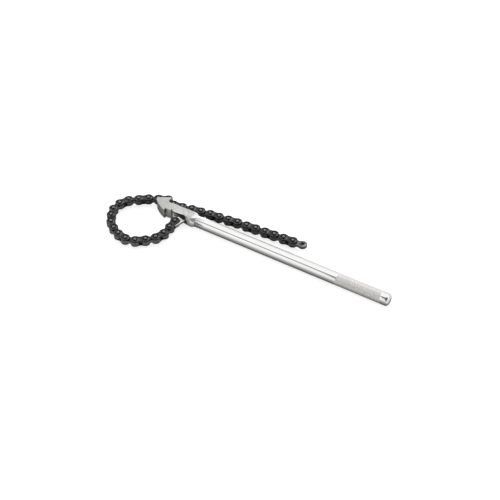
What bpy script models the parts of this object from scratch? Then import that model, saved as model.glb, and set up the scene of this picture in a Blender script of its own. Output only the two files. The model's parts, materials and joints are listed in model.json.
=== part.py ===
"""Chain wrench: a forged jaw head on a round bar handle, a shackle link and a riveted plate chain.

The tool lies along X, jaw at -X and rounded handle end at +X, with the hook side at +Y.
The origin is on the head's flat underside, midway along the jaw's neck.
Inside the wrench, places are taken from the shackle pin, at half the head's thickness.
"""

import math

import bmesh
import bpy
from mathutils import Matrix, Vector

# Chain plates and rivets
PITCH = 0.015875
PLATE_RADIUS = 0.0073
PLATE_WAIST = 0.0052
INNER_THICKNESS = 0.0047
OUTER_THICKNESS = 0.0023
RIVET_RADIUS = 0.0024
RIVET_PROUD = 0.0014
RIVET_CHAMFER = 0.0006
END_HOLE_RADIUS = 0.0030
PLATE_GAP = 0.0003
HOLE_CLEARANCE = 0.0003

# Shackle link and its pin
SHACKLE_LENGTH = 0.0218
SHACKLE_EYE_RADIUS = 0.0064
SHACKLE_END_RADIUS = 0.0086
SHACKLE_PIN_RADIUS = 0.0036
SHACKLE_PIN_CHAMFER = 0.0005

# Jaw head, with the jaw face on the near side and the hook on the far side
HEAD_THICKNESS = 0.018
PIN_TO_ORIGIN = 0.0185
NECK_HALF_WIDTH = 0.0080
PIN_TO_HEEL = 0.0341
HEEL_REACH = 0.0132
JAW_LENGTH = 0.0265
JAW_BOW = 0.0012
TOOTH_DEPTH = 0.0007
PIN_TO_NOSE = 0.0617
NOSE_TO_AXIS = 0.0068
NOSE_RADIUS = 0.0026
PIN_TO_SEAT = 0.0331
SEAT_TO_AXIS = 0.0115
SEAT_TO_HOOK = 0.0063
HOOK_OVERHANG = 0.0062
HOOK_TIP_WIDTH = 0.0032
HOOK_TIP_RADIUS = 0.0010
THROAT_RADIUS = 0.0045
THROAT_LEAN = 0.0020
THROAT_LENGTH = 0.0105
THROAT_RISE = 0.0008
HEEL_NOTCH_RADIUS = 0.0017
HEEL_STEP_LENGTH = 0.0099
HEEL_STEP_PROUD = 0.0018
NECK_GROOVE_DEPTH = 0.0011
NECK_GROOVE_LENGTH = 0.0042
NECK_WAIST_DEPTH = 0.0013
NECK_WAIST_LENGTH = 0.0190
NECK_WAIST_RUNOUT = 0.0055
NECK_WAIST_RADIUS = 0.0080
CORNER_RADIUS = 0.0005
HEAD_EDGE_CHAMFER = 0.0004

# Chain channel between the hook's cheeks, and the slot for the shackle link
CHANNEL_CLEARANCE = 0.0009
CHANNEL_SIDE_GAP = 0.00045
SLOT_SIDE_GAP = 0.00035
SLOT_EYE_CLEARANCE = 0.0005
PIN_CLEARANCE = 0.0003
CUT_OVERRUN = 0.004

# Round shank at the back of the head
SHANK_RADIUS = 0.012
FLARE_START = 0.004
FLARE_LENGTH = 0.013
COLLAR_LENGTH = 0.0045
TAPER_LENGTH = 0.0065
SPIGOT_RADIUS = 0.0062
SPIGOT_LENGTH = 0.009
SOCKET_CLEARANCE = 0.0003

# Bar handle
HANDLE_RADIUS = 0.009525
HANDLE_LENGTH = 0.3315
NOSE_LENGTH = 0.0052
SHOULDER_CHAMFER = 0.0006

# Headings in degrees from +X of the links as the loose chain lies, from the shackle round to the hook
SHACKLE_HEADING = -111
LOOP_HEADINGS = (
    -87,
    -88,
    -109,
    -131,
    -142,
    -165,
    -190,
    -205,
    -217,
    -233,
    -245,
    -270,
    -296,
    -320,
    -322,
    -332,
    -335,
    -384,
)
TAIL_HEADINGS = (9, 14, 9, 9, 6, 7, 7, 4, 5, 4, 5, 4, 4, 8)

# Pin where the loop parts into a half that hangs from the shackle and a half that hangs from the hook
OPEN_PIN = 10

# Headings of the jaw face and of the shackle slot's two walls
JAW_FACE_HEADING = 150
SLOT_FRONT_HEADING = -145
SLOT_REAR_HEADING = -85

# Finish of the curves
PLATE_ARC_STEPS = 9
WAIST_STEPS = 3
RIVET_SIDES = 10
BORE_SIDES = 24
ROUND_SIDES = 48
FILLET_STEP = 18
DOME_STEPS = 5
DOME_POWER_SHARE = 0.6
JAW_TEETH = 12
CLOSING_ROUNDS = 12


def clear_scene():
    """Removes every object of the startup scene."""
    for obj in list(bpy.data.objects):
        bpy.data.objects.remove(obj, do_unlink=True)


def metal(name, colour, roughness, metallic=1):
    """A Principled material with one colour."""
    material = bpy.data.materials.new(name)
    material.use_nodes = True
    shader = material.node_tree.nodes["Principled BSDF"]
    shader.inputs["Base Color"].default_value = (*colour, 1)
    shader.inputs["Roughness"].default_value = roughness
    shader.inputs["Metallic"].default_value = metallic
    return material


def polar(centre, radius, heading):
    """The point at this radius and heading in degrees from the centre."""
    angle = math.radians(heading)
    return Vector((centre[0] + radius * math.cos(angle), centre[1] + radius * math.sin(angle)))


def arc(centre, radius, start, end, steps):
    """Points along an arc from one heading to another, both ends included."""
    return [polar(centre, radius, start + (end - start) * i / steps) for i in range(steps + 1)]


def heading_of(vector):
    """Heading of a vector in degrees."""
    return math.degrees(math.atan2(vector[1], vector[0]))


def rounded(corners):
    """Outline through corners of x, y and fillet radius. A radius of zero keeps the corner sharp."""
    points = []
    count = len(corners)
    for i, (x, y, radius) in enumerate(corners):
        corner = Vector((x, y))
        if not radius:
            points.append(corner)
            continue
        back = (Vector(corners[i - 1][:2]) - corner).normalized()
        onward = (Vector(corners[(i + 1) % count][:2]) - corner).normalized()
        half = back.angle(onward) / 2
        centre = corner + (back + onward).normalized() * radius / math.sin(half)
        start = heading_of(corner + back * radius / math.tan(half) - centre)
        end = heading_of(corner + onward * radius / math.tan(half) - centre)
        turn = (end - start + 180) % 360 - 180
        points += arc(centre, radius, start, start + turn, max(1, round(abs(turn) / FILLET_STEP)))
    return points


def inset(outline, distance):
    """The counterclockwise outline moved inwards by this distance."""
    points = []
    for i, point in enumerate(outline):
        before = (point - outline[i - 1]).normalized()
        after = (outline[(i + 1) % len(outline)] - point).normalized()
        first = Vector((-before.y, before.x))
        second = Vector((-after.y, after.x))
        points.append(point + (first + second) * distance / (1 + first.dot(second)))
    return points


def linked(name, mesh):
    """A scene object for the mesh."""
    obj = bpy.data.objects.new(name, mesh)
    bpy.context.scene.collection.objects.link(obj)
    return obj


def stacked(name, rings):
    """A closed solid through rings of points, each ring an equal count or a single point."""
    mesh = bpy.data.meshes.new(name)
    bm = bmesh.new()
    layers = [[bm.verts.new(point) for point in ring] for ring in rings]
    sides = max(len(layer) for layer in layers)
    for low, high in zip(layers, layers[1:]):
        for i in range(sides):
            j = (i + 1) % sides
            corners = [low[i % len(low)], low[j % len(low)], high[j % len(high)], high[i % len(high)]]
            bm.faces.new(list(dict.fromkeys(corners)))
    for layer in (layers[0], layers[-1]):
        if len(layer) > 1:
            bm.faces.new(layer)
    bmesh.ops.recalc_face_normals(bm, faces=bm.faces)
    bm.to_mesh(mesh)
    bm.free()
    return linked(name, mesh)


def prism(name, outline, low, high, chamfer=0):
    """A flat outline raised from low to high, with an edge chamfer at both faces where one is asked."""
    levels = [(low, outline), (high, outline)]
    if chamfer:
        narrow = inset(outline, chamfer)
        levels = [(low, narrow), (low + chamfer, outline), (high - chamfer, outline), (high, narrow)]
    return stacked(name, [[(x, y, z) for x, y in points] for z, points in levels])


def turned(name, profile, sides, centre=(0, 0)):
    """A solid of revolution about an upright axis, from pairs of height and radius."""
    rings = []
    for height, radius in profile:
        count = sides if radius else 1
        ring = [polar(centre, radius, 360 * i / count) for i in range(count)]
        rings.append([(x, y, height) for x, y in ring])
    return stacked(name, rings)


def laid(obj):
    """Lays an upright solid down, so that its height runs along +X."""
    obj.data.transform(Matrix.Rotation(math.radians(90), 4, "Y"))
    return obj


def combined(target, others, operation):
    """The target's mesh after an exact Boolean with each of the others, which are removed."""
    for other in others:
        other.hide_render = True
        other.display_type = "WIRE"
        modifier = target.modifiers.new(operation.title(), "BOOLEAN")
        modifier.operation = operation
        modifier.solver = "EXACT"
        modifier.object = other
    graph = bpy.context.evaluated_depsgraph_get()
    mesh = bpy.data.meshes.new_from_object(target.evaluated_get(graph))
    target.modifiers.clear()
    target.data = mesh
    for other in others:
        bpy.data.objects.remove(other, do_unlink=True)
    return target


def finished(obj, material, crease=35):
    """Gives the object its material and smooth shading between its sharp edges."""
    obj.data.materials.clear()
    obj.data.materials.append(material)
    obj.data.shade_smooth()
    obj.data.set_sharp_from_angle(angle=math.radians(crease))
    return obj


def unlinked(obj):
    """The object's mesh, with the object itself removed."""
    mesh = obj.data
    bpy.data.objects.remove(obj, do_unlink=True)
    return mesh


def closed_headings(start, target, headings, length):
    """Headings turned as little as possible so that links of one length run from start to target."""
    headings = list(headings)
    for _ in range(CLOSING_ROUNDS):
        steps = [polar((0, 0), length, heading) for heading in headings]
        error = target - start - sum(steps, Vector((0, 0)))
        across = [Vector((-step.y, step.x)) for step in steps]
        xx = sum(a.x * a.x for a in across)
        xy = sum(a.x * a.y for a in across)
        yy = sum(a.y * a.y for a in across)
        push = Matrix(((xx, xy), (xy, yy))).inverted() @ error
        headings = [h + math.degrees(a.dot(push)) for h, a in zip(headings, across)]
    return headings


def seat():
    """Place in the hook's throat of the rivet that the hook holds."""
    return Vector((-PIN_TO_SEAT, SEAT_TO_AXIS))


def loop_headings():
    """Headings of the links from the shackle round to the hook, closed on the seat."""
    start = polar((0, 0), SHACKLE_LENGTH, SHACKLE_HEADING)
    return closed_headings(start, seat(), LOOP_HEADINGS, PITCH)


def pins_along(start, headings):
    """Places of the pins along links of one pitch."""
    pins = [start]
    for heading in headings:
        pins.append(polar(pins[-1], PITCH, heading))
    return pins


def outer_height():
    """Height of the outer plates' inner faces above the chain's middle."""
    return INNER_THICKNESS / 2 + PLATE_GAP


def chain_half_width():
    """Half the chain's width over its outer plates."""
    return outer_height() + OUTER_THICKNESS


def plate_outline():
    """Chain plate: a round end about each pin, joined by a hollow waist tangent to both."""
    hollow = ((PITCH / 2) ** 2 + PLATE_WAIST**2 - PLATE_RADIUS**2) / (2 * (PLATE_RADIUS - PLATE_WAIST))
    height = PLATE_WAIST + hollow
    lean = math.degrees(math.atan2(height, PITCH / 2))
    points = arc((PITCH, 0), PLATE_RADIUS, lean - 180, 180 - lean, PLATE_ARC_STEPS)
    points += arc((PITCH / 2, height), hollow, -lean, lean - 180, WAIST_STEPS)[1:-1]
    points += arc((0, 0), PLATE_RADIUS, lean, 360 - lean, PLATE_ARC_STEPS)
    points += arc((PITCH / 2, -height), hollow, 180 - lean, lean, WAIST_STEPS)[1:-1]
    return points


def rivet(name, at, low, high):
    """A plain rivet with chamfered ends."""
    narrow = RIVET_RADIUS - RIVET_CHAMFER
    profile = [(low, narrow), (low + RIVET_CHAMFER, RIVET_RADIUS), (high - RIVET_CHAMFER, RIVET_RADIUS)]
    return turned(name, profile + [(high, narrow)], RIVET_SIDES, (at, 0))


def outer_link_mesh(open_end=False):
    """Two plates held by two rivets. An open end leaves out the middle of the second rivet."""
    low, high = outer_height(), chain_half_width()
    end = high + RIVET_PROUD
    upper = prism("upper", plate_outline(), low, high)
    others = [prism("lower", plate_outline(), -high, -low), rivet("first", 0, -end, end)]
    if open_end:
        stub = low + PLATE_GAP
        others += [rivet("upper_stub", PITCH, stub, end), rivet("lower_stub", PITCH, -end, -stub)]
    else:
        others.append(rivet("second", PITCH, -end, end))
    return unlinked(combined(upper, others, "UNION"))


def drill(at, radius, half_depth, sides):
    """Cutter for an upright hole."""
    return turned("drill", [(-half_depth, radius), (half_depth, radius)], sides, at)


def inner_link_mesh(end_hole=RIVET_RADIUS + HOLE_CLEARANCE):
    """One thick plate drilled for a rivet at each end."""
    half = INNER_THICKNESS / 2
    depth = half + CUT_OVERRUN
    cutters = [drill((0, 0), RIVET_RADIUS + HOLE_CLEARANCE, depth, RIVET_SIDES)]
    cutters.append(drill((PITCH, 0), end_hole, depth, RIVET_SIDES))
    return unlinked(combined(prism("plate", plate_outline(), -half, half), cutters, "DIFFERENCE"))


def shackle(material):
    """Single strap from the shackle pin to the first rivet, widening away from the pin."""
    half = INNER_THICKNESS / 2
    lean = 90 + math.degrees(math.asin((SHACKLE_END_RADIUS - SHACKLE_EYE_RADIUS) / SHACKLE_LENGTH))
    outline = arc((SHACKLE_LENGTH, 0), SHACKLE_END_RADIUS, -lean, lean, 2 * PLATE_ARC_STEPS)
    outline += arc((0, 0), SHACKLE_EYE_RADIUS, lean, 360 - lean, 2 * PLATE_ARC_STEPS)
    depth = half + CUT_OVERRUN
    cutters = [drill((0, 0), SHACKLE_PIN_RADIUS + HOLE_CLEARANCE, depth, BORE_SIDES)]
    cutters.append(drill((SHACKLE_LENGTH, 0), RIVET_RADIUS + HOLE_CLEARANCE, depth, BORE_SIDES))
    strap = prism("shackle_link", outline, -half, half, CORNER_RADIUS)
    return finished(combined(strap, cutters, "DIFFERENCE"), material)


def shackle_pin(material):
    """Plain pin through the neck, flush with the head's faces."""
    half = HEAD_THICKNESS / 2
    narrow = SHACKLE_PIN_RADIUS - SHACKLE_PIN_CHAMFER
    profile = [(-half, narrow), (SHACKLE_PIN_CHAMFER - half, SHACKLE_PIN_RADIUS)]
    profile += [(half - SHACKLE_PIN_CHAMFER, SHACKLE_PIN_RADIUS), (half, narrow)]
    return finished(turned("shackle_pin", profile, BORE_SIDES), material)


def jaw_face(start, heel):
    """Toothed face from the nose down to the heel, bowed outwards, as sharp corners."""
    outward = Vector((heel - start).yx).normalized() * Vector((1, -1))
    corners = []
    for i in range(2 * JAW_TEETH + 1):
        along = i / (2 * JAW_TEETH)
        out = JAW_BOW * 4 * along * (1 - along) - TOOTH_DEPTH * (i % 2)
        corners.append((*(start.lerp(heel, along) + outward * out), 0))
    return corners


def waist_half_width():
    """Distance from the head's axis to the neck's near side where it is narrowest."""
    return NECK_HALF_WIDTH - NECK_WAIST_DEPTH


def head_outline():
    """Jaw, heel, neck, throat and hook, seen from above, counterclockwise from the nose."""
    heel = Vector((-PIN_TO_HEEL, -HEEL_REACH))
    corners = [(-PIN_TO_NOSE, NOSE_TO_AXIS, NOSE_RADIUS)]
    corners += jaw_face(polar(heel, JAW_LENGTH, JAW_FACE_HEADING), heel)
    waist_y = -waist_half_width()
    step_y = waist_y - HEEL_STEP_PROUD
    step_x = heel.x + HEEL_STEP_LENGTH
    waist_x = step_x + NECK_GROOVE_LENGTH
    runout_x = waist_x + NECK_WAIST_LENGTH
    corners.append((heel.x, step_y, HEEL_NOTCH_RADIUS))
    corners.append((step_x, step_y, CORNER_RADIUS))
    corners.append((step_x, waist_y + NECK_GROOVE_DEPTH, CORNER_RADIUS))
    corners.append((waist_x, waist_y, CORNER_RADIUS))
    corners.append((runout_x, waist_y, NECK_WAIST_RADIUS))
    corners.append((runout_x + NECK_WAIST_RUNOUT, -NECK_HALF_WIDTH, 0))
    neck_end = FLARE_LENGTH - FLARE_START
    corners.append((neck_end, -NECK_HALF_WIDTH, 0))
    corners.append((neck_end, NECK_HALF_WIDTH, 0))
    hook_x = seat().x - SEAT_TO_HOOK
    tip_y = seat().y + HOOK_OVERHANG
    floor_y = NECK_HALF_WIDTH - THROAT_RISE
    corner_x = hook_x - THROAT_LEAN
    corners.append((corner_x + THROAT_LENGTH + THROAT_RISE, NECK_HALF_WIDTH, CORNER_RADIUS))
    corners.append((corner_x + THROAT_LENGTH, floor_y, CORNER_RADIUS))
    corners.append((corner_x, floor_y, THROAT_RADIUS))
    corners.append((hook_x, tip_y, HOOK_TIP_RADIUS))
    corners.append((hook_x - HOOK_TIP_WIDTH, tip_y, HOOK_TIP_RADIUS))
    return rounded(corners)


def shank():
    """Flared collar behind the neck, with a flat milled on each side."""
    start = -FLARE_START
    collar = start + FLARE_LENGTH
    taper = collar + COLLAR_LENGTH
    profile = [(start, waist_half_width()), (collar, SHANK_RADIUS), (taper, SHANK_RADIUS)]
    profile.append((taper + TAPER_LENGTH, HANDLE_RADIUS))
    body = laid(turned("shank", profile, ROUND_SIDES))
    reach = SHANK_RADIUS + CUT_OVERRUN
    front, back = start - reach, taper + 2 * reach
    corners = [(front, -reach), (back, -reach), (back, reach), (front, reach)]
    flats = prism("flats", [Vector(corner) for corner in corners], -HEAD_THICKNESS / 2, HEAD_THICKNESS / 2)
    return combined(body, [flats], "INTERSECT")


def head_back():
    """Distance from the shackle pin to the head's back face."""
    return FLARE_LENGTH - FLARE_START + COLLAR_LENGTH + TAPER_LENGTH


def socket():
    """Cutter for the blind hole that takes the handle's spigot."""
    radius = SPIGOT_RADIUS + SOCKET_CLEARANCE
    deep = head_back() - SPIGOT_LENGTH - SOCKET_CLEARANCE
    return laid(turned("socket", [(deep, radius), (head_back() + CUT_OVERRUN, radius)], ROUND_SIDES))


def shackle_slot():
    """Cutter for the fan-shaped slot in which the shackle link swings, open to the near side."""
    radius = SHACKLE_EYE_RADIUS + SLOT_EYE_CLEARANCE
    outline = arc((0, 0), radius, SLOT_REAR_HEADING + 90, SLOT_FRONT_HEADING + 270, PLATE_ARC_STEPS)
    reach = SHACKLE_LENGTH + SHANK_RADIUS
    outline.append(polar(outline[-1], reach, SLOT_FRONT_HEADING))
    outline.append(polar(outline[0], reach, SLOT_REAR_HEADING))
    half = INNER_THICKNESS / 2 + SLOT_SIDE_GAP
    return prism("slot", outline, -half, half)


def chain_channel(loop, tail):
    """Cutter for the channel between the hook's cheeks, whose floor follows the chain's near side."""
    reach = PLATE_RADIUS + CHANNEL_CLEARANCE
    headings = loop_headings()[-3:]
    floor = [polar(loop[-4], reach, headings[0] - 90)]
    spread = math.cos(math.radians((headings[2] - headings[1]) / 2))
    floor.append(polar(loop[-2], reach / spread, (headings[1] + headings[2]) / 2 - 90))
    floor += arc(loop[-1], reach, headings[2] - 90, TAIL_HEADINGS[0] - 450, PLATE_ARC_STEPS)
    floor.append(polar(tail[1], reach, TAIL_HEADINGS[1] - 90))
    floor.append(polar(tail[2], reach, TAIL_HEADINGS[1] - 90))
    far = seat().y + HOOK_OVERHANG + CUT_OVERRUN
    outline = floor + [Vector((floor[-1].x, far)), Vector((floor[0].x, far))]
    half = chain_half_width() + CHANNEL_SIDE_GAP
    return prism("channel", outline, -half, half)


def jaw_head(material, loop, tail):
    """Head in one piece: jaw, hook with two cheeks, slotted neck and round shank."""
    half = HEAD_THICKNESS / 2
    head = prism("jaw_head", head_outline(), -half, half, HEAD_EDGE_CHAMFER)
    combined(head, [shank()], "UNION")
    bore = drill((0, 0), SHACKLE_PIN_RADIUS + PIN_CLEARANCE, half + CUT_OVERRUN, BORE_SIDES)
    combined(head, [shackle_slot(), chain_channel(loop, tail), bore, socket()], "DIFFERENCE")
    return finished(head, material)


def handle_bar(material):
    """Round bar with a spigot at the head and a domed nose."""
    start = head_back()
    end = start + HANDLE_LENGTH
    face = start + SOCKET_CLEARANCE
    profile = [(start - SPIGOT_LENGTH, SPIGOT_RADIUS - SHOULDER_CHAMFER)]
    profile.append((start - SPIGOT_LENGTH + SHOULDER_CHAMFER, SPIGOT_RADIUS))
    profile += [(face, SPIGOT_RADIUS), (face, HANDLE_RADIUS - SHOULDER_CHAMFER)]
    profile.append((face + SHOULDER_CHAMFER, HANDLE_RADIUS))
    for i in range(DOME_STEPS + 1):
        angle = math.radians(90 * i / (DOME_STEPS + 1))
        height = end - NOSE_LENGTH * (1 - math.sin(angle))
        profile.append((height, HANDLE_RADIUS * math.cos(angle) ** DOME_POWER_SHARE))
    profile.append((end, 0))
    return finished(laid(turned("handle_bar", profile, ROUND_SIDES)), material)


def placed(obj, parent, location, heading):
    """Puts the object at its pin, turned to its heading, in its parent's frame."""
    obj.parent = parent
    obj.location = (*location, 0)
    obj.rotation_euler = (0, 0, math.radians(heading))
    return obj


def run_of_links(numbers, parent, start, base, headings, meshes):
    """Links joined end to end, each held by the one before and turning about its own first pin."""
    location = start
    last = base
    for number, heading in zip(numbers, headings):
        kind = "inner_link" if number % 2 else "outer_link"
        if number == len(LOOP_HEADINGS) + len(TAIL_HEADINGS) - 1:
            kind = "end_link"
        mesh = meshes["open_link" if number == OPEN_PIN else kind]
        parent = placed(linked(f"{kind}_{number:02d}", mesh), parent, location, heading - last)
        location, last = Vector((PITCH, 0)), heading


def link_meshes():
    """The four sorts of link, each with its material."""
    black = metal("black_oxide", (0.045, 0.045, 0.048), 0.42)
    bare = metal("bare_link_steel", (0.33, 0.33, 0.34), 0.4)
    meshes = {"outer_link": outer_link_mesh(), "open_link": outer_link_mesh(open_end=True)}
    meshes["inner_link"] = inner_link_mesh()
    meshes["end_link"] = inner_link_mesh(END_HOLE_RADIUS)
    for kind, mesh in meshes.items():
        unlinked(finished(linked(kind, mesh), bare if kind == "end_link" else black))
    return meshes


def main():
    """Builds the wrench."""
    clear_scene()
    base = bpy.data.objects.new("wrench", None)
    bpy.context.scene.collection.objects.link(base)
    base.location = (PIN_TO_ORIGIN, 0, HEAD_THICKNESS / 2)
    start = polar((0, 0), SHACKLE_LENGTH, SHACKLE_HEADING)
    headings = loop_headings()
    loop = pins_along(start, headings)
    tail = pins_along(seat(), TAIL_HEADINGS)
    placed(jaw_head(metal("forged_steel", (0.62, 0.6, 0.57), 0.34), loop, tail), base, (0, 0), 0)
    placed(handle_bar(metal("polished_bar", (0.78, 0.78, 0.77), 0.16)), base, (0, 0), 0)
    placed(shackle_pin(metal("pin_steel", (0.66, 0.65, 0.63), 0.3)), base, (0, 0), 0)
    strap = placed(shackle(metal("shackle_steel", (0.7, 0.7, 0.7), 0.25)), base, (0, 0), SHACKLE_HEADING)
    meshes = link_meshes()
    hooked = len(headings)
    back = [heading + 180 for heading in reversed(headings[OPEN_PIN:])]
    run_of_links(range(OPEN_PIN), strap, Vector((SHACKLE_LENGTH, 0)), SHACKLE_HEADING, headings, meshes)
    run_of_links(range(hooked - 1, OPEN_PIN - 1, -1), base, seat(), 0, back, meshes)
    run_of_links(range(hooked, hooked + len(TAIL_HEADINGS)), base, seat(), 0, TAIL_HEADINGS, meshes)


main()
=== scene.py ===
"""Looks of the chain wrench.

A chromed bar with a knurled grip, a linished jaw head with its bright strap, and a blackened chain.
"""

import json
import math

import bmesh
import bpy
import numpy as np
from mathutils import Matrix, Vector


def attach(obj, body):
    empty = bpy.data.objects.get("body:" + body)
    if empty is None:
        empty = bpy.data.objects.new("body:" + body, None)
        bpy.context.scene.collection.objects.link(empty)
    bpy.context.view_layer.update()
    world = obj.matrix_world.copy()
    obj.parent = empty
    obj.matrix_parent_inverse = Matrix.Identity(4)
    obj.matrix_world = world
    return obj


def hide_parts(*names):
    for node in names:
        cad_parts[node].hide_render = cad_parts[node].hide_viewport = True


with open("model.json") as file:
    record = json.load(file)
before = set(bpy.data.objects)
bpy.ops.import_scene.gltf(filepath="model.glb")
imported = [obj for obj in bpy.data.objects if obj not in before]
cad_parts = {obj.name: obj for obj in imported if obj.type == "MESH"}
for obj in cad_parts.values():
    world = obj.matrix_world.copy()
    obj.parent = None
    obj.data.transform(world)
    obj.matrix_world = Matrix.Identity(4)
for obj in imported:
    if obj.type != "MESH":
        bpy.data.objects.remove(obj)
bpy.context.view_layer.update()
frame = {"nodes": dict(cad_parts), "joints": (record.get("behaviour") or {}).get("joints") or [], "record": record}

MM = 0.001

# Camera, fitted to the pins of the chain and the axis of the handle
CAMERA_AZIMUTH = 31.6
CAMERA_ELEVATION = 42.6
CAMERA_DISTANCE = 1407 * MM
CAMERA_TARGET = (143.7 * MM, -13.55 * MM, 9 * MM)
CAMERA_LENS = 67.1

# Sky as matt surfaces see it, where 1 is white, and as metal sees it
PLAIN_SKY = 0.85
SKY = 1.08

# Dark seam that metal sees along the tool: where it lies, as an angle about X from the back horizon,
# where it starts to fade and where it ends, and how dark it is
SEAM_ANGLE = math.radians(121)
SEAM_EDGES = (math.radians(2.5), math.radians(11))
SEAM_DARK = 0.82

# The panels on both sides of the seam: how far up from its horizon each one brightens, and how much
FRONT_REACH = math.radians(30)
FRONT_LIFT = 0.22
BACK_REACH = math.radians(60)
BACK_LIFT = 0.3

# Left end of the room: where the light falls off, and by how much
LEFT_EDGES = (-0.95, -0.5)
LEFT_DARK = 0.3

# Strip light low at the back left: how bright it is, and its soft ends to the right, upwards and in front
STRIP = 2.4
STRIP_EDGES = (-0.47, -0.42)
STRIP_HEIGHT = (0.2, 0.32)
STRIP_FRONT = (0, 0.2)

# Unlit corner, over the front right: its direction, where it starts to show and where it is darkest
CORNER = (0.386, -0.627, 0.677)
CORNER_EDGES = (math.cos(math.radians(45)), math.cos(math.radians(30)))
CORNER_DARK = 0.86

# Lamp: place, size and power
LAMP_PLACE = (-0.3, 1.0, 1.1)
LAMP_SIZE = (1.2, 0.8)
LAMP_POWER = 14

# Floor: half its side, its own tone and the one it has in metal, its glow to the camera, and how its glow
# in metal grows with the logarithm of the distance from the tool's line, up to a limit, so that metal sees shade
# painted on the floor near the tool. Beyond the bar's end the distance counts several times.
FLOOR_REACH = 6
FLOOR_TONE = 0.5
FLOOR_IN_METAL = 0.06
FLOOR_GLOW = 0.72
GLOW_START = 0.06
GLOW_GROWTH = 0.235
GLOW_LIMIT = 0.75
END_WEIGHT = 6

# Middle plane of the tool, and the surface it lies on
MID_HEIGHT = 9 * MM
FLOOR_HEIGHT = -0.55 * MM

# Vertices nearer than this are one
SAME_PLACE = 0.0005 * MM

# Chain plates: pitch, radii, heights of their faces, rounding of the rim, how far a hole's edge curls in
# over its wall, how far in from the rim the flat face starts, in roundings, and numbers of steps
PITCH = 15.875 * MM
PLATE_RADIUS = 7.16 * MM
PLATE_WAIST = 5.2 * MM
INNER_LOW, INNER_HIGH = 0.03 * MM, 2.35 * MM
OUTER_LOW, OUTER_HIGH = 2.65 * MM, 4.95 * MM
PLATE_EDGE = 0.3 * MM
HOLE_EDGE = 0.25 * MM
PLATE_FLAT = 1.35
PLATE_STEPS = 40
WAIST_STEPS = 6
SEAM_STEPS = 4

# Rivets: radius, half length, the seam round them in the outer plates, the inner plates' holes, the height
# of their domed ends, and numbers of sides and steps
RIVET_RADIUS = 2.4 * MM
RIVET_HALF = 6.35 * MM
RIVET_SEAM = 0.03 * MM
RIVET_HOLE = 2.7 * MM
RIVET_DOME = 1.3 * MM
RIVET_SIDES = 36
DOME_STEPS = 8

# Link with the opened pivot, and the last link with its empty hole
OPEN_LINK = "outer_link_10"
END_LINK = "end_link_31"
END_HOLE = 2.5 * MM
# Painted shade in the end link's empty hole: where it starts to fade and where it ends
HOLE_SHADE_EDGES = (END_HOLE + 0.1 * MM, END_HOLE + 0.35 * MM)

# Distance from the middle plane beyond which a rivet's end is bright from the hammer
PEENED = (OUTER_HIGH + 0.1 * MM, OUTER_HIGH + 0.5 * MM)

# How upright a normal is where plates are painted lighter, from 0 for level to 1 for upright: the middle of the
# worn edge, which also carries a painted rim highlight, and its reach both ways, and the end of the wall that
# carries a painted reflection of the floor, and the range over which it fades
WEAR_MIDDLE = 0.72
WEAR_REACH = 0.3
WALL_END = 0.4
WALL_FADE = 0.25

# Shackle link and its pin
SHACKLE_LENGTH = 21.8 * MM
SHACKLE_EYE = 6.4 * MM
SHACKLE_END = 8.6 * MM
SHACKLE_HALF = 2.35 * MM
SHACKLE_EDGE = 1.2 * MM
SHACKLE_PIN_RADIUS = 3.6 * MM
SHACKLE_PIN_HOLE = 3.9 * MM
PIN_HALF = 9 * MM
PIN_EDGE = 0.4 * MM
PIN_SIDES = 48

# Bar handle: radii, places along X, and rows of vertices
BAR_RADIUS = 9.525 * MM
BAR_START = 29.5 * MM
BAR_FACE = 38.8 * MM
BAR_END = 370 * MM
SPIGOT_RADIUS = 6.2 * MM
SHOULDER = 0.6 * MM
NOSE_LENGTH = 5.2 * MM
NOSE_POWER = 0.6
NOSE_ROWS = 15
SMOOTH_ROWS = 14
AFTER_ROWS = 4

# Knurl: where it is, its pitches around and along, its depth, the shape of its ridges, over how many rows it
# fades at each end, and how metallic its finish is
KNURL_START = 284.5 * MM
KNURL_END = 357.3 * MM
KNURL_STARTS = 52
KNURL_ROWS = 36
KNURL_DEPTH = 0.13 * MM
KNURL_STEEPNESS = 1.1
KNURL_TIP = 0.75
KNURL_BLUNT = 0.8
KNURL_FADE = 3
KNURL_METALLIC = 0.78

# Head: rounding of its edges, the least angle that is rounded and the greatest that is flattened away
HEAD_EDGE = 0.35 * MM
EDGE_ANGLE = math.radians(30)
FLAT_ANGLE = math.radians(0.5)

# Zones of the head's finish, of its painted shade and of its painted reflection, each as where it starts to
# change and where the change is done: first those along X, then those along Y, and last the one by distance
# from the middle plane
JAW_TO_NECK = (-30 * MM, 12 * MM)
COLLAR_POLISH = (31.4 * MM, 33.8 * MM)
SLOT_START = (9.5 * MM, 11.5 * MM)
SIDE_START = (-5.6 * MM, -4.8 * MM)
SIDE_END = (13 * MM, 17 * MM)
BLOCK_START = (-14.6 * MM, -13.6 * MM)
BLOCK_END = (-6.6 * MM, -5.8 * MM)
SLOT_NEAR = (-6.4 * MM, -5.6 * MM)
SLOT_FAR = (7.2 * MM, 7.8 * MM)
SIDE_NEAR = (-6.4 * MM, -5.4 * MM)
BLOCK_NEAR = (-7.8 * MM, -7.2 * MM)
SLOT_HALF = (5.35 * MM, 5.45 * MM)

# Painted shade in the heel's notch and behind its block: place, stretch along each axis, inner and outer radius
NOTCH = ((-15.4 * MM, -9.0 * MM, 13.6 * MM), (1, 1, 0.5), 1.3 * MM, 3 * MM)
GROOVE = ((-4.8 * MM, -6.2 * MM, 12 * MM), (1, 1, 0.15), 0.5 * MM, 1.5 * MM)

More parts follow.
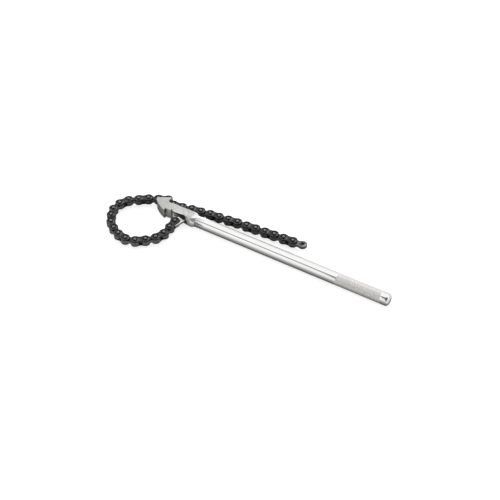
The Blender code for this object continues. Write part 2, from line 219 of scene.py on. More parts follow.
# Painted shade on the neck's near side, in place of a dark recess. Its upper edge has a height and slope at the
# origin and a greatest height, and so has its lower edge. All its edges are soft, and the upper one curves down
# past the end.
RECESS_OVER = 15.2 * MM
RECESS_RISE = 0.12
RECESS_TOP = 17 * MM
RECESS_UNDER = 14.2 * MM
RECESS_FALL = 0.35
RECESS_LIP = 12.5 * MM
RECESS_UPPER = (-0.2 * MM, 0.3 * MM)
RECESS_LOWER = (-0.3 * MM, 0.2 * MM)
RECESS_START = (-5.8 * MM, -5.2 * MM)
RECESS_END = 17.7 * MM
RECESS_CURVE = 145


class Wire:
    """A shader socket. Arithmetic on it adds Math nodes, and add() adds any other node."""

    def __init__(self, tree, socket=None):
        self.tree = tree
        self.socket = socket

    def add(self, kind, settings, inputs, output=0):
        """A new node of this kind: its settings first, then the values or wires of its sockets."""
        node = self.tree.nodes.new("ShaderNode" + kind)
        for name, value in settings.items():
            setattr(node, name, value)
        for name, value in inputs.items():
            if isinstance(value, Wire):
                self.tree.links.new(value.socket, node.inputs[name])
            else:
                node.inputs[name].default_value = value
        return Wire(self.tree, node.outputs[output])

    def maths(self, operation, *others):
        """A Math node on this wire and the others."""
        return self.add("Math", {"operation": operation}, dict(enumerate((self, *others))))

    def __add__(self, other):
        return self.maths("ADD", other)

    __radd__ = __add__

    def __mul__(self, other):
        return self.maths("MULTIPLY", other)

    __rmul__ = __mul__

    def __sub__(self, other):
        return self.maths("SUBTRACT", other)

    def __rsub__(self, other):
        return self.add("Math", {"operation": "SUBTRACT"}, {0: other, 1: self})

    def __truediv__(self, other):
        return self.maths("DIVIDE", other)

    def absolute(self):
        """This number without its sign."""
        return self.maths("ABSOLUTE")

    def least(self, other):
        """The lesser of two numbers."""
        return self.maths("MINIMUM", other)

    def most(self, other):
        """The greater of two numbers."""
        return self.maths("MAXIMUM", other)

    def axis(self, name):
        """The X, Y or Z of these coordinates."""
        return self.add("SeparateXYZ", {}, {"Vector": self}, output=name)

    def stored(self, name):
        """The number that the mesh stores under this name."""
        return self.add("Attribute", {"attribute_name": name}, {}, output="Fac")

    def ray(self, kind):
        """1 for rays of this kind and 0 for others."""
        return self.add("LightPath", {}, {}, output=f"Is {kind} Ray")

    def step(self, low, high):
        """Smooth step from 0 at low to 1 at high."""
        inputs = {"Value": self, "From Min": low, "From Max": high}
        return self.add("MapRange", {"interpolation_type": "SMOOTHSTEP"}, inputs)

    def mix(self, first, second):
        """Colour from first to second as this wire goes from 0 to 1."""
        return self.add("Mix", {"data_type": "RGBA"}, {0: self, 6: first, 7: second}, output=2)

    def stretched(self, scale):
        """These coordinates scaled along each axis."""
        return self.add("Mapping", {}, {"Vector": self, "Scale": scale})

    def noise(self, scale, detail=3, roughness=0.5):
        """Noise from 0 to 1 at this scale per metre."""
        inputs = {"Vector": self, "Scale": scale, "Detail": detail, "Roughness": roughness}
        return self.add("TexNoise", {}, inputs)

    def bump(self, distance):
        """Normal from this height, where 1 stands for the distance."""
        return self.add("Bump", {}, {"Height": self, "Distance": distance, "Strength": 1})


def rgb(red, green, blue):
    """An opaque colour."""
    return (red, green, blue, 1)


def grey(tone):
    """An opaque grey."""
    return rgb(tone, tone, tone)


def finish(name, paint, metallic=1):
    """A Principled material, with what paint() works out from Object coordinates."""
    made = bpy.data.materials.new(name)
    made.use_nodes = True
    tree = made.node_tree
    shader = tree.nodes["Principled BSDF"]
    shader.inputs["Metallic"].default_value = metallic
    place = Wire(tree).add("TexCoord", {}, {}, output="Object")
    for socket, wire in paint(place).items():
        tree.links.new(wire.socket, shader.inputs[socket])
    return made


def paint_chrome(place):
    """Polished bar: fine rings left by polishing, faint haze and a few light scuffs."""
    rings = place.stretched((1, 0.02, 0.02)).noise(5200, 2)
    haze = place.noise(60, 4)
    scuffs = place.stretched((0.3, 1, 1)).noise(900, 4, 0.7).step(0.62, 0.8)
    colour = haze.mix(rgb(0.84, 0.84, 0.835), rgb(0.9, 0.9, 0.895))
    return {
        "Base Color": colour,
        "Roughness": 0.055 + 0.05 * haze + 0.03 * rings + 0.12 * scuffs,
        "Normal": (rings + 2 * scuffs).bump(0.0012 * MM),
    }


def paint_knurl(place):
    """Knurled grip: bright worn tips, dull grooves painted darker as dirt and as painted shade, and a little dirt.
    """
    dirt = place.noise(260, 4, 0.6)
    worn = place.noise(90, 3).step(0.35, 0.7)
    depth = place.stored("groove").step(0.1, 0.9)
    tips = worn.mix(rgb(0.95, 0.935, 0.91), rgb(0.99, 0.975, 0.95))
    return {
        # Grooves painted darker: partly dirt, partly painted shade in the knurl's hollows
        "Base Color": depth.mix(tips, rgb(0.68, 0.665, 0.64)),
        "Roughness": 0.14 + 0.06 * depth + 0.08 * dirt,
        "Normal": place.noise(4200, 2).bump(0.004 * MM),
    }


def spot(place, centre, stretch, inner, outer):
    """1 within the inner distance of a point and 0 beyond the outer one, in stretched coordinates."""
    scaled = place.stretched(stretch)
    middle = tuple(at * by for at, by in zip(centre, stretch))
    distance = scaled.add("VectorMath", {"operation": "DISTANCE"}, {0: scaled, 1: middle}, output="Value")
    return 1 - distance.step(inner, outer)


def recess_shade_in(x, z):
    """1 where shade is painted on the neck's near side in place of a shadowed hollow: between two sloping edges,
    with a curved end.
    """
    past = (x - RECESS_END).most(0)
    over = (RECESS_OVER + RECESS_RISE * x).least(RECESS_TOP - past * past * RECESS_CURVE)
    under = (RECESS_UNDER - RECESS_FALL * x).least(RECESS_LIP)
    return (over - z).step(*RECESS_UPPER) * (z - under).step(*RECESS_LOWER) * x.step(*RECESS_START)


def paint_forged(place):
    """Linished steel: fine streaks along the tool, mottled tone, a warm jaw and a polished collar.

    The slot is dark with forging scale and painted shade. Painted shade also covers the neck's near side over
    it, in place of a shadowed hollow that widens from the block towards the pin and ends in a curve, and sits in
    the heel's notch and behind its block. The rest of the neck's near side is painted white and less metallic, as
    a painted reflection of the pale floor.
    """
    x, y, z = (place.axis(name) for name in "XYZ")
    streaks = place.stretched((0.16, 1, 0.5)).noise(2600, 3, 0.65)
    marks = place.stretched((0.5, 1, 1)).noise(700, 4, 0.6)
    mottle = place.noise(130, 4, 0.6)
    tone = (0.45 * streaks + 0.25 * marks + 0.3 * mottle).step(0.3, 0.7)
    jaw = tone.mix(rgb(0.41, 0.415, 0.385), rgb(0.53, 0.535, 0.5))
    neck = tone.mix(rgb(0.49, 0.49, 0.48), rgb(0.61, 0.61, 0.6))
    ground = x.step(*JAW_TO_NECK).mix(jaw, neck)
    polish = x.step(*COLLAR_POLISH)
    slot = 1 - (z - MID_HEIGHT).absolute().step(*SLOT_HALF)
    # Dark forging scale and painted shade in the slot
    scale = slot * y.step(*SLOT_NEAR) * x.step(*SLOT_START) * (1 - y.step(*SLOT_FAR))
    side = 1 - y.step(*SIDE_NEAR)
    # Painted shade on the neck's near side, in place of a shadowed hollow
    recess_shade = side * recess_shade_in(x, z)
    # Rest of the neck's near side painted white and less metallic: a painted reflection of the pale floor
    wall = side * (1 - recess_shade) * x.step(*SIDE_START) * (1 - x.step(*SIDE_END))
    block = (1 - y.step(*BLOCK_NEAR)) * x.step(*BLOCK_START) * (1 - x.step(*BLOCK_END))
    # Painted shade in the heel's notch and behind its block
    pocket_shade = (0.85 * spot(place, *NOTCH)).most(0.8 * spot(place, *GROOVE))
    # All the painted shade on the head, with the slot's forging scale
    shade_and_scale = pocket_shade.most(0.9 * scale).most(recess_shade)
    bright = wall.mix(polish.mix(ground, rgb(0.86, 0.86, 0.85)), rgb(0.94, 0.94, 0.93))
    rough = (0.25 + 0.16 * streaks + 0.1 * mottle) * (1 - 0.65 * polish)
    return {
        "Base Color": shade_and_scale.mix(bright, rgb(0.045, 0.043, 0.04)),
        "Roughness": rough + 0.15 * shade_and_scale + 0.2 * wall,
        "Metallic": 0.78 - 0.73 * wall - 0.22 * block,
        "Normal": ((streaks + 0.6 * marks) * (1 - 0.8 * polish)).bump(0.012 * MM),
    }


def paint_shackle(place):
    """Bright steel strap with light tumbling marks."""
    marks = place.noise(1500, 4, 0.6)
    haze = place.noise(160, 3)
    return {
        "Base Color": haze.mix(rgb(0.63, 0.63, 0.62), rgb(0.77, 0.77, 0.76)),
        "Roughness": 0.16 + 0.16 * marks,
        "Normal": marks.bump(0.006 * MM),
    }


def paint_pin(place):
    """Ground pin end with faint turning marks."""
    marks = place.noise(1900, 3, 0.6)
    return {
        "Base Color": marks.mix(rgb(0.62, 0.61, 0.59), rgb(0.78, 0.77, 0.75)),
        "Roughness": 0.2 + 0.2 * marks,
        "Normal": marks.bump(0.006 * MM),
    }


def paint_black(place):
    """Blackened steel: oily sheen, cloudy tone, grey wear where the edges rub, also a painted rim highlight, and
    hammered rivet ends.
    """
    cloud = place.noise(300, 4, 0.6)
    grain = place.noise(2600, 3, 0.6)
    # Edges painted grey: wear, and a painted rim highlight
    wear_and_sheen = place.stored("wear") * (0.35 * cloud + 0.65 * grain).step(0.38, 0.62)
    peened = (place.axis("Z") - MID_HEIGHT).absolute().step(*PEENED)
    black = cloud.mix(rgb(0.033, 0.034, 0.036), rgb(0.066, 0.067, 0.071))
    steel = peened.mix(black, rgb(0.2, 0.2, 0.202))
    return {
        "Base Color": wear_and_sheen.mix(steel, rgb(0.3, 0.298, 0.295)),
        "Roughness": 0.27 + 0.16 * cloud + 0.08 * grain,
        "Normal": (grain + 0.5 * cloud).bump(0.012 * MM),
    }


def paint_inner(place):
    """Blackened inner plates: as the outer ones, with walls painted lighter grey, a painted reflection of the pale
    floor.
    """
    painted = paint_black(place)
    # Walls painted lighter grey: a painted reflection of the floor
    wear_and_sheen = place.stored("wall") * (0.6 + 0.4 * place.noise(420, 4, 0.6))
    painted["Base Color"] = wear_and_sheen.mix(painted["Base Color"], rgb(0.23, 0.23, 0.232))
    return painted


def paint_bare(place):
    """Bare end link: dull grey steel with a little stain, and painted shade, black, in its empty hole and round
    its edge.
    """
    (x, y, _), heading = pose_of(END_LINK)
    hole = (x + PITCH * math.cos(heading), y + PITCH * math.sin(heading), 0)
    # Painted shade in the empty hole
    hole_shade = spot(place, hole, (1, 1, 0), *HOLE_SHADE_EDGES)
    cloud = place.noise(380, 4, 0.6)
    grain = place.noise(2400, 3, 0.6)
    steel = cloud.mix(rgb(0.16, 0.16, 0.163), rgb(0.24, 0.24, 0.243))
    return {
        "Base Color": hole_shade.mix(steel, grey(0.02)),
        "Roughness": 0.3 + 0.16 * grain,
        "Normal": grain.bump(0.012 * MM),
    }


def lattice(points, closed_rows=False, closed_columns=False):
    """Vertices and quads of a grid: quad (i, j) joins points (i, j), (i, j+1), (i+1, j+1) and (i+1, j)."""
    rows, columns = points.shape[:2]
    index = np.arange(rows * columns).reshape(rows, columns)
    if closed_rows:
        index = np.vstack([index, index[:1]])
    if closed_columns:
        index = np.hstack([index, index[:, :1]])
    quads = np.stack([index[:-1, :-1], index[:-1, 1:], index[1:, 1:], index[1:, :-1]], axis=-1)
    return points.reshape(-1, 3), quads


def joined(*parts):
    """Vertices and faces of several shells as one, each shell's faces counted on from the last vertex."""
    starts = np.cumsum([0] + [len(vertices) for vertices, _ in parts[:-1]])
    vertices = np.concatenate([vertices for vertices, _ in parts])
    return vertices, np.concatenate([faces + start for (_, faces), start in zip(parts, starts)])


def turned(heights, radii, sides):
    """Surface of revolution about Z: (r cos a, r sin a, h), with row i's h and r and column j's angle a."""
    angle = 2 * np.pi * np.arange(sides) / sides
    heights, radii = np.asarray(heights, float), np.asarray(radii, float)
    across = radii[:, None] * np.cos(angle)
    along = radii[:, None] * np.sin(angle)
    points = np.stack([across, along, np.broadcast_to(heights[:, None], across.shape)], axis=-1)
    vertices, quads = lattice(points, closed_columns=True)
    return vertices, quads.reshape(-1, 4)


def edge_curve(size, steps=3):
    """Quarter round from a face to a wall: inset size (1 - cos a) and drop size (1 - sin a) at angle a."""
    angle = np.linspace(np.pi / 2, 0, steps + 1)
    return size * (1 - np.cos(angle)), size * (1 - np.sin(angle))


def half_outline(radius_here, radius_there, length, waist):
    """Half of a plate about a pin at the origin, up to the line where it meets the other half.

    With a waist, the side is an arc that touches both end circles and comes within the waist of the axis.
    Without one, it is the straight line that touches both circles.
    Gives the points round the pin, their outward normals, and where the halves meet.
    """
    if waist:
        meet = length / 2
        hollow = (meet**2 + waist**2 - radius_here**2) / (2 * (radius_here - waist))
        height = waist + hollow
        lean = math.atan2(height, meet)
        side = np.linspace(-np.pi / 2, lean - np.pi, WAIST_STEPS + 1)[:-1]
        side_points = np.stack([meet + hollow * np.cos(side), height + hollow * np.sin(side)], axis=-1)
        side_normals = -np.stack([np.cos(side), np.sin(side)], axis=-1)
    else:
        lean = math.acos((radius_here - radius_there) / length)
        normal = np.array([math.cos(lean), math.sin(lean)])
        touch = radius_here * normal
        other = radius_there * normal + (length, 0)
        side_points = np.linspace((touch + other) / 2, touch, WAIST_STEPS + 1)[:-1]
        side_normals = np.broadcast_to(normal, side_points.shape)
        meet = side_points[0, 0]
    turn = np.linspace(lean, 2 * np.pi - lean, PLATE_STEPS + 1)
    round_normals = np.stack([np.cos(turn), np.sin(turn)], axis=-1)
    flip = np.array([1, -1])
    points = np.concatenate([side_points, radius_here * round_normals, side_points[::-1] * flip])
    normals = np.concatenate([side_normals, round_normals, side_normals[::-1] * flip])
    return points, normals, meet


def half_plate(outline, hole, low, high, edge):
    """Half of a drilled plate: a ring of profiles about the pin.

    Each profile curls in from the hole's wall to the top face, runs out across it, over the outer edge,
    down the wall and back along the underside, and curls back to the hole's wall. Where the halves meet
    there is no outer wall.
    """
    points, normals, meet = outline
    hole_inset, hole_drop = edge_curve(HOLE_EDGE, 2)
    rim_inset, rim_drop = edge_curve(edge)
    rim_inset = np.append(PLATE_FLAT * edge, rim_inset)
    rim_drop = np.append(0, rim_drop)
    hole_out = hole + HOLE_EDGE - hole_inset[::-1]
    up_hole = high - hole_drop[::-1]
    top_rows = len(hole_out)
    inset = np.concatenate([rim_inset, rim_inset[::-1]])
    height = np.concatenate([high - rim_drop, low + rim_drop[::-1]])
    share = np.linspace(-1, 1, SEAM_STEPS + 1)[1:-1]

    def ring(back):
        """Outline moved in by this much, closed along the line where the halves meet."""
        moved = points - normals * back
        moved[0, 0] = moved[-1, 0] = meet
        seam = np.stack([np.full(len(share), meet), moved[0, 1] * share], axis=-1)
        return np.concatenate([moved, seam])

    whole = ring(0)
    round_hole = whole / np.linalg.norm(whole, axis=1, keepdims=True)
    above = [(round_hole * out, z) for out, z in zip(hole_out, up_hole)]
    about = [(ring(back), z) for back, z in zip(inset, height)]
    below = [(round_hole * out, z) for out, z in zip(hole_out[::-1], low + hole_drop)]
    rows = [np.column_stack([flat, np.full(len(flat), z)]) for flat, z in above + about + below]
    vertices, quads = lattice(np.stack(rows), closed_rows=True, closed_columns=True)
    row = np.arange(len(rows))
    in_wall = (row >= top_rows) & (row < top_rows + len(inset) - 1)
    in_seam = np.arange(len(rows[0])) >= len(points) - 1
    keep = ~(in_wall[:, None] & in_seam[None, :])
    return vertices, quads[keep]


def plate(ends, holes, length, low, high, waist=0, edge=PLATE_EDGE):
    """Plate between two pins: one half about each, the second turned about so that it faces the first."""
    first = half_plate(half_outline(ends[0], ends[1], length, waist), holes[0], low, high, edge)
    vertices, faces = half_plate(half_outline(ends[1], ends[0], length, waist), holes[1], low, high, edge)
    second = vertices * (-1, -1, 1) + (length, 0, 0)
    return joined(first, (second, faces))


def both_ends(heights, radii, sides):
    """Surface of revolution alike at both ends: these heights and radii, and the same turned over."""
    return turned(np.append(-heights, heights[::-1]), np.append(radii, radii[::-1]), sides)


def dome():
    """Heights and radii of a rivet's end: a quarter ellipse, R sin t out and D (1 - cos t) down."""
    turn = np.linspace(0, np.pi / 2, DOME_STEPS + 1)
    return RIVET_HALF - RIVET_DOME * (1 - np.cos(turn)), RIVET_RADIUS * np.sin(turn)


def rivet(at):
    """Rivet through both plates, with a domed end both ways."""
    vertices, faces = both_ends(*dome(), RIVET_SIDES)
    return vertices + (at, 0, 0), faces


def stubs(at):
    """Rivet of the opened pivot: a domed end in each plate, level with the plate's inner face."""
    heights, radii = dome()
    heights, radii = np.append(heights, (OUTER_LOW, OUTER_LOW)), np.append(radii, (RIVET_RADIUS, 0))
    vertices, faces = joined(turned(heights, radii, RIVET_SIDES), turned(-heights, radii, RIVET_SIDES))
    return vertices + (at, 0, 0), faces


def mirrored(part):
    """The part turned over about the X axis."""
    vertices, faces = part
    return vertices * (1, -1, -1), faces


def outer_link(far_rivet=rivet):
    """Two plates held by two rivets, the far one whole or open."""
    hole = RIVET_RADIUS + RIVET_SEAM
    upper = plate((PLATE_RADIUS, PLATE_RADIUS), (hole, hole), PITCH, OUTER_LOW, OUTER_HIGH, PLATE_WAIST)
    return joined(upper, mirrored(upper), rivet(0), far_rivet(PITCH))


def inner_link(last_hole=RIVET_HOLE):
    """Two plates face to face, each drilled at both ends."""
    holes = (RIVET_HOLE, last_hole)
    upper = plate((PLATE_RADIUS, PLATE_RADIUS), holes, PITCH, INNER_LOW, INNER_HIGH, PLATE_WAIST)
    return joined(upper, mirrored(upper))


def shackle():
    """Strap with a small eye at the pin and a wide end at the chain."""
    ends, holes = (SHACKLE_EYE, SHACKLE_END), (SHACKLE_PIN_HOLE, RIVET_HOLE)
    return plate(ends, holes, SHACKLE_LENGTH, -SHACKLE_HALF, SHACKLE_HALF, edge=SHACKLE_EDGE)


def pin():
    """Flush pin with a small round at each end."""
    inset, drop = edge_curve(PIN_EDGE)
    heights = np.append(PIN_HALF, PIN_HALF - drop)
    radii = np.append(0, SHACKLE_PIN_RADIUS - inset)
    return both_ends(heights, radii, PIN_SIDES)


def nose_rows():
    """Rows over the domed nose: x = end - n (1 - sin a) and radius R cos(a) to a power, at angle a."""
    angle = np.linspace(0, np.pi / 2, NOSE_ROWS)
    x = BAR_END - NOSE_LENGTH * (1 - np.sin(angle))
    return x, BAR_RADIUS * np.cos(angle) ** NOSE_POWER


def knurl_height():
    """Height of a diamond knurl, from 0 in the grooves towards 1 at the tips, every quarter of a pitch.

    The two sets of grooves run where i + j and i - j are multiples of 4, for row i and column j. The
    height is twice the distance, in pitches, to the nearer groove, a little steeper and blunted at the tips.
    """
    i, j = np.meshgrid(np.arange(4 * KNURL_ROWS + 1), np.arange(4 * KNURL_STARTS), indexing="ij")
    first, second = (i + j) % 4, (i - j) % 4
    height = np.minimum(np.minimum(first, 4 - first), np.minimum(second, 4 - second)) / 2
    return np.where(height > KNURL_TIP, KNURL_BLUNT, height * KNURL_STEEPNESS)


def bar():
    """Bar as one lathe grid with the knurl sunk into it.

    Point (i, j) is (x, r cos a, r sin a), with row i's x, column j's angle a, and as r the row's radius less
    the depth of the groove there. Gives vertices, faces as triangles that are split along the grooves,
    which faces are knurled, and how deep in a groove each vertex is.
    """
    height = knurl_height()
    knurl_x = np.linspace(KNURL_START, KNURL_END, len(height))
    rows = np.arange(len(height))
    fade = np.minimum(1, np.minimum(rows, rows[::-1]) / KNURL_FADE)
    smooth_x = np.linspace(BAR_FACE + SHOULDER, KNURL_START, SMOOTH_ROWS)[:-1]
    after_x = np.linspace(KNURL_END, BAR_END - NOSE_LENGTH, AFTER_ROWS)[1:-1]
    nose_x, nose_r = nose_rows()
    start_x = np.array([BAR_START, BAR_START, BAR_START + SHOULDER, BAR_FACE, BAR_FACE])
    start_r = np.array([0, SPIGOT_RADIUS - SHOULDER, SPIGOT_RADIUS, SPIGOT_RADIUS, BAR_RADIUS - SHOULDER])
    full_x = np.concatenate([smooth_x, knurl_x, after_x])
    x = np.concatenate([start_x, full_x, nose_x])
    radius = np.concatenate([start_r, np.full(len(full_x), BAR_RADIUS), nose_r])
    first = len(start_x) + len(smooth_x)
    last = first + len(knurl_x)
    depth = np.zeros((len(x), height.shape[1]))
    depth[first:last] = (1 - height) * fade[:, None]
    r = radius[:, None] - KNURL_DEPTH * depth
    angle = 2 * np.pi * np.arange(height.shape[1]) / height.shape[1]
    points = np.stack([np.broadcast_to(x[:, None], r.shape), r * np.cos(angle), r * np.sin(angle)], axis=-1)
    vertices, quads = lattice(points, closed_columns=True)
    i, j = np.meshgrid(np.arange(len(x) - 1) - first, np.arange(height.shape[1]), indexing="ij")
    main = ((i - j) % 4 == 0)[..., None]
    a, b, c, d = (quads[..., k : k + 1] for k in range(4))
    one = np.where(main, np.concatenate([a, b, c], -1), np.concatenate([a, b, d], -1))
    two = np.where(main, np.concatenate([a, c, d], -1), np.concatenate([b, c, d], -1))
    faces = np.stack([one, two], axis=2).reshape(-1, 3)
    knurled = np.repeat(((i >= 0) & (i < last - first - 1)).reshape(-1), 2)
    return vertices + (0, 0, MID_HEIGHT), faces, knurled, depth.reshape(-1)


def close_up(mesh):
    """Merges the mesh's doubles and turns its faces outwards."""
    bm = bmesh.new()
    bm.from_mesh(mesh)
    bmesh.ops.remove_doubles(bm, verts=bm.verts, dist=SAME_PLACE)
    bmesh.ops.recalc_face_normals(bm, faces=bm.faces)
    bm.to_mesh(mesh)
    bm.free()


def placed(name, data):
    """A new object with this mesh, lamp or camera, in the scene."""
    obj = bpy.data.objects.new(name, data)
    bpy.context.scene.collection.objects.link(obj)
    return obj


def solid(name, part, material):
    """A smooth object of vertices and faces, with doubles merged and faces outwards."""
    vertices, faces = part
    mesh = bpy.data.meshes.new(name)
    mesh.from_pydata(vertices.tolist(), [], faces.tolist())
    mesh.materials.append(material)
    close_up(mesh)
    mesh.shade_smooth()
    return placed(name, mesh)


def body_of(node):
    """The body that carries a CAD node."""
    groups = frame["record"]["behaviour"]["bodies"]
    return next(body for body, nodes in groups.items() if node in nodes)


def fit(obj, node):
    """The piece stands for the node, which it hides, and rides on its body."""
    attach(obj, body_of(node))
    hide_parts(node)


def pivot_of(body):
    """The place of the joint that carries a body."""
    return np.array(next(joint["pos_m"] for joint in frame["joints"] if joint["child"] == body))


def pose_of(node):
    """Pivot and heading of a link: it points from its pivot to the middle of its own vertices."""
    mesh = frame["nodes"][node].data
    flat = np.empty(3 * len(mesh.vertices), np.float32)
    mesh.vertices.foreach_get("co", flat)
    middle = np.unique(flat.reshape(-1, 3).round(6), axis=0).mean(axis=0)
    pivot = pivot_of(body_of(node))
    return pivot, math.atan2(middle[1] - pivot[1], middle[0] - pivot[0])


def laid(part, node):
    """The part's vertices turned and moved to the node's place."""
    vertices, faces = part
    (x, y, _), heading = pose_of(node)
    cos, sin = math.cos(heading), math.sin(heading)
    turn = np.array([[cos, sin, 0], [-sin, cos, 0], [0, 0, 1]])
    return vertices @ turn + (x, y, MID_HEIGHT), faces


def keep_value(mesh, name, values):
    """Stores one number per vertex as an attribute of this name."""
    attribute = mesh.attributes.new(name, "FLOAT", "POINT")
    attribute.data.foreach_set("value", values.astype(np.float32))


def wear_and_sheen_masks(mesh):
    """Stores where plates are painted lighter, from 0 to 1: wear and a painted rim highlight on their edges, and
    wall, a painted reflection of the floor, on their sides.

    Wear falls evenly both ways from 1, where a vertex's normal leans as at the middle of a rounded edge.
    Wall is 1 where the normal is about level and falls evenly to 0 as it rises.
    """
    normals = np.empty(3 * len(mesh.vertices), np.float32)
    mesh.vertex_normals.foreach_get("vector", normals)
    upright = np.abs(normals.reshape(-1, 3)[:, 2])
    keep_value(mesh, "wear", np.clip(1 - np.abs(upright - WEAR_MIDDLE) / WEAR_REACH, 0, 1))
    keep_value(mesh, "wall", np.clip((WALL_END - upright) / WALL_FADE, 0, 1))


def dress_chain():
    """Detailed links in place of the plain ones."""
    black = finish("blackened_steel", paint_black)
    inner = finish("blackened_inner_steel", paint_inner)
    bare = finish("bare_steel", paint_bare)
    outer_shape, inner_shape = outer_link(), inner_link()
    for node in sorted(frame["nodes"]):
        if node == OPEN_LINK:
            shape, material = outer_link(stubs), black
        elif node == END_LINK:
            shape, material = inner_link(END_HOLE), bare
        elif node.startswith("outer_link"):
            shape, material = outer_shape, black
        elif node.startswith("inner_link"):
            shape, material = inner_shape, inner
        else:
            continue
        obj = solid(node.replace("link", "plates"), laid(shape, node), material)
        wear_and_sheen_masks(obj.data)
        fit(obj, node)


def dress_bar():
    """Polished bar with its knurl cut in."""
    vertices, faces, knurled, depth = bar()
    mesh = bpy.data.meshes.new("bar_finished")
    mesh.from_pydata(vertices.tolist(), [], faces.tolist())
    mesh.materials.append(finish("polished_chrome", paint_chrome))
    mesh.materials.append(finish("knurled_chrome", paint_knurl, metallic=KNURL_METALLIC))
    mesh.polygons.foreach_set("material_index", knurled.astype(np.int32))
    mesh.polygons.foreach_set("use_smooth", ~knurled)
    keep_value(mesh, "groove", depth)
    close_up(mesh)
    fit(placed("bar_finished", mesh), "handle_bar")


def dress_head():
    """Head with its sharp edges rounded, on a merged copy of the node."""
    bm = bmesh.new()
    bm.from_mesh(frame["nodes"]["jaw_head"].data)
    bmesh.ops.remove_doubles(bm, verts=bm.verts, dist=SAME_PLACE)
    bmesh.ops.dissolve_limit(bm, angle_limit=FLAT_ANGLE, verts=bm.verts, edges=bm.edges)
    mesh = bpy.data.meshes.new("head_finished")
    bm.to_mesh(mesh)
    bm.free()
    mesh.materials.clear()
    mesh.materials.append(finish("linished_steel", paint_forged))
    mesh.shade_smooth()
    obj = placed("head_finished", mesh)
    bevel = obj.modifiers.new("Rounded edges", "BEVEL")
    bevel.width = HEAD_EDGE
    bevel.segments = 2
    bevel.limit_method = "ANGLE"
    bevel.angle_limit = EDGE_ANGLE
    bevel.harden_normals = True
    fit(obj, "jaw_head")


def dress_shackle():
    """Strap and its pin."""
    bright = finish("bright_strap", paint_shackle)
    fit(solid("shackle_finished", laid(shackle(), "shackle_link"), bright), "shackle_link")
    x, y, _ = pivot_of("shackle")
    vertices, faces = pin()
    ground = finish("ground_pin", paint_pin)
    fit(solid("pin_finished", (vertices + (x, y, MID_HEIGHT), faces), ground), "shackle_pin")


def studio_floor():
    """Pale floor: white to the camera save for the tool's shadow. Metal sees it darker near the tool, as painted
    shade.
    """
    mesh = bpy.data.meshes.new("floor")
    corners = FLOOR_REACH * np.array([(-1, -1, 0), (1, -1, 0), (1, 1, 0), (-1, 1, 0)])
    mesh.from_pydata((corners + (0, 0, FLOOR_HEIGHT)).tolist(), [], [(0, 1, 2, 3)])
    made = bpy.data.materials.new("pale_floor")
    made.use_nodes = True
    tree = made.node_tree
    tree.nodes.clear()
    start = Wire(tree)
    place = start.add("TexCoord", {}, {}, output="Object")
    # Painted shade on the floor near the tool, as metal sees it
    beyond = END_WEIGHT * (place.axis("X") - BAR_END)
    away = place.axis("Y").absolute().most(beyond).most(BAR_RADIUS) / BAR_RADIUS
    growing = GLOW_START + GLOW_GROWTH * away.maths("LOGARITHM", math.e)
    in_metal = start.ray("Glossy")
    through = start.ray("Transmission")
    share = FLOOR_GLOW * start.ray("Camera") + (in_metal + through) * growing.least(GLOW_LIMIT)
    pale = start.add("BsdfDiffuse", {}, {"Color": grey(FLOOR_TONE)})
    dim = start.add("BsdfDiffuse", {}, {"Color": grey(FLOOR_IN_METAL)})
    lit = start.add("MixShader", {}, {0: in_metal, 1: pale, 2: dim})
    white = start.add("Emission", {}, {"Color": grey(1), "Strength": 1})
    glow = start.add("MixShader", {}, {0: share, 2: white})
    both = start.add("AddShader", {}, {0: lit, 1: glow})
    out = tree.nodes.new("ShaderNodeOutputMaterial")
    tree.links.new(both.socket, out.inputs["Surface"])
    mesh.materials.append(made)
    placed("floor", mesh)


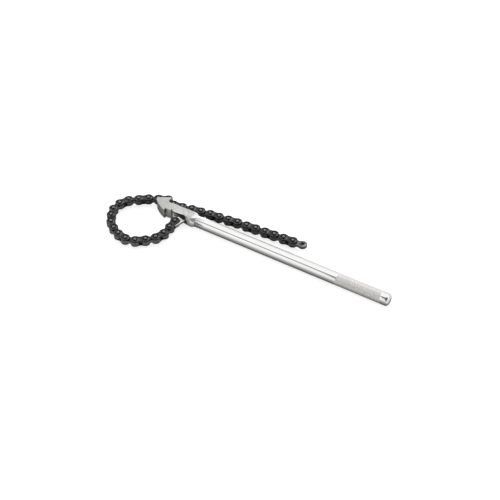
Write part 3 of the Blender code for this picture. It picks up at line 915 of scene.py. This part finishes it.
def studio_sky():
    """White surroundings. In metal they show two panels, a dark seam, a strip light and an unlit corner.

    The seam runs overhead along the tool, between the panels. All of it keeps its place in the room.
    """
    world = bpy.data.worlds.new("studio")
    bpy.context.scene.world = world
    world.use_nodes = True
    tree = world.node_tree
    tree.nodes.clear()
    start = Wire(tree)
    direction = start.add("TexCoord", {}, {}, output="Generated")
    along, across, height = (direction.axis(name) for name in "XYZ")
    around = height.maths("ARCTAN2", across)
    seam = 1 - (around - SEAM_ANGLE).absolute().step(*SEAM_EDGES)
    front = 1 - FRONT_LIFT + FRONT_LIFT * (around - math.pi).absolute().step(0, FRONT_REACH)
    back = 1 - BACK_LIFT + BACK_LIFT * around.step(0, BACK_REACH)
    left = 1 - LEFT_DARK + LEFT_DARK * along.step(*LEFT_EDGES)
    near = start.add("VectorMath", {"operation": "DOT_PRODUCT"}, {0: direction, 1: CORNER}, output="Value")
    corner = near.step(*CORNER_EDGES)
    strip = (1 - along.step(*STRIP_EDGES)) * (1 - height.step(*STRIP_HEIGHT)) * across.step(*STRIP_FRONT)
    panels = SKY * front * back * left * (1 - SEAM_DARK * seam) * (1 - CORNER_DARK * corner) + STRIP * strip
    white = (start.ray("Camera") + start.ray("Transmission")) * (1 - PLAIN_SKY)
    strength = PLAIN_SKY + start.ray("Glossy") * (panels - PLAIN_SKY) + white
    background = start.add("Background", {}, {"Color": grey(1), "Strength": strength})
    out = tree.nodes.new("ShaderNodeOutputWorld")
    tree.links.new(background.socket, out.inputs["Surface"])


def aimed(name, data, place):
    """A lamp or camera at this place, turned to the tool."""
    obj = placed(name, data)
    obj.location = place
    obj.rotation_mode = "QUATERNION"
    obj.rotation_quaternion = (Vector(CAMERA_TARGET) - Vector(place)).to_track_quat("-Z", "Y")
    return obj


def lamp():
    """Soft lamp behind the tool, which metal doesn't mirror."""
    data = bpy.data.lights.new("back_panel", "AREA")
    data.shape = "RECTANGLE"
    data.size, data.size_y = LAMP_SIZE
    data.energy = LAMP_POWER
    aimed("back_panel", data, LAMP_PLACE).visible_glossy = False


def camera():
    """Camera at its azimuth, elevation and distance from the target."""
    azimuth, elevation = math.radians(CAMERA_AZIMUTH), math.radians(CAMERA_ELEVATION)
    level = math.cos(elevation)
    back = Vector((math.sin(azimuth) * level, -math.cos(azimuth) * level, math.sin(elevation)))
    data = bpy.data.cameras.new("camera")
    data.lens = CAMERA_LENS
    data.sensor_width = 36
    data.clip_start, data.clip_end = 0.05, 50
    bpy.context.scene.camera = aimed("camera", data, Vector(CAMERA_TARGET) + back * CAMERA_DISTANCE)


dress_chain()
dress_bar()
dress_head()
dress_shackle()
studio_floor()
studio_sky()
lamp()
camera()
bpy.context.scene.view_settings.view_transform = "Standard"
